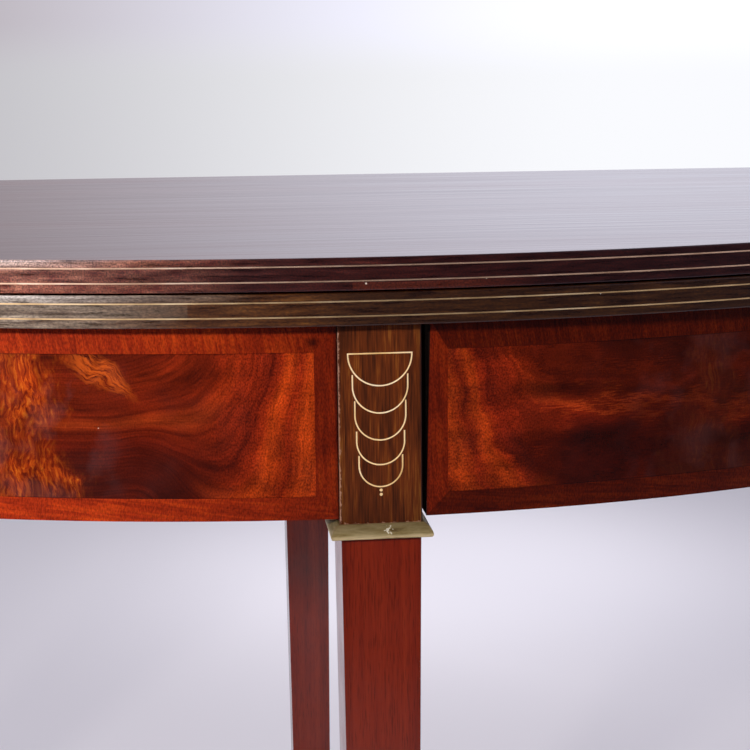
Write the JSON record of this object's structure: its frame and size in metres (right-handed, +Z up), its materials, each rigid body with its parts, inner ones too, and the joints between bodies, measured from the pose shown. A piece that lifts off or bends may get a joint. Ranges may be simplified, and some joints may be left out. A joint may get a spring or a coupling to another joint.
{
  "type": "demilune table",
  "caption": "Half-round fold-over side table with veneered curved apron, brass stringing, square tapered legs, a hinged upper leaf and a swing leg on a wooden knuckle joint.",
  "frame": {"origin": "on the floor, under the middle of the closed table's bounding box", "axes": "+X along the straight back edge to the sitter's right as seen from the front, +Y from the curved front to the back, +Z up"},
  "size_m": [1.2, 0.6031, 0.755],
  "materials": {
    "upper_leaf_mahogany": "French polish, glossy",
    "lower_leaf_mahogany": "French polish, worn at the edge",
    "flame_mahogany": "figured veneer, French polish",
    "crossband_mahogany": "cross-cut veneer, French polish",
    "rosewood": "straight grain, satin polish",
    "leg_mahogany": "solid, French polish",
    "oak": "unpolished secondary wood, aged",
    "beech": "unpolished secondary wood, aged",
    "brass_string": "rubbed bright",
    "collar_brass": "dull old patina",
    "hinge_brass": "aged",
    "steel_screw": "slotted, darkened",
    "iron_pin": "forged, darkened"
  },
  "bodies": {
    "frame": {"apron_rail_left": "oak", "apron_rail_right": "oak", "back_rail": "oak", "brass_motif_front": "brass_string", "brass_motif_left": "brass_string", "brass_motif_right": "brass_string", "collar_front": "collar_brass", "collar_left": "collar_brass", "collar_right": "collar_brass", "crossband_bottom_left": "crossband_mahogany", "crossband_bottom_right": "crossband_mahogany", "crossband_corner_left": "crossband_mahogany", "crossband_corner_right": "crossband_mahogany", "crossband_front_left": "crossband_mahogany", "crossband_front_right": "crossband_mahogany", "crossband_top_left": "crossband_mahogany", "crossband_top_right": "crossband_mahogany", "facing_front": "rosewood", "facing_left": "rosewood", "facing_right": "rosewood", "flame_veneer_left": "flame_mahogany", "flame_veneer_right": "flame_mahogany", "fly_rail_fixed": "beech", "glue_blocks": "oak", "hinge_pin_left": "hinge_brass", "hinge_pin_right": "hinge_brass", "knuckle_pin": "iron_pin", "leg_front": "leg_mahogany", "leg_left": "leg_mahogany", "leg_right": "leg_mahogany", "lower_leaf": "lower_leaf_mahogany", "lower_leaf_hinge_left": "hinge_brass", "lower_leaf_hinge_right": "hinge_brass", "lower_leaf_hinge_screws": "steel_screw", "lower_leaf_string_high": "brass_string", "lower_leaf_string_low": "brass_string", "medial_brace": "oak", "top_screws": "steel_screw"},
    "upper_leaf": {"upper_leaf": "upper_leaf_mahogany", "upper_leaf_hinge_left": "hinge_brass", "upper_leaf_hinge_right": "hinge_brass", "upper_leaf_hinge_screws": "steel_screw", "upper_leaf_string_high": "brass_string", "upper_leaf_string_low": "brass_string"},
    "gate": {"collar_swing": "collar_brass", "fly_rail_swing": "beech", "leg_swing": "leg_mahogany"}
  },
  "joints": [
    {"name": "leaf_fold", "type": "hinge", "parent": "frame", "child": "upper_leaf", "pos_m": [0, 0.29865, 0.7407], "axis": [-1, 0, 0], "range_deg": [0, 180]},
    {"name": "gate_swing", "type": "hinge", "parent": "frame", "child": "gate", "pos_m": [0.296, 0.26175, 0.641], "axis": [0, 0, -1], "range_deg": [0, 90]}
  ]
}
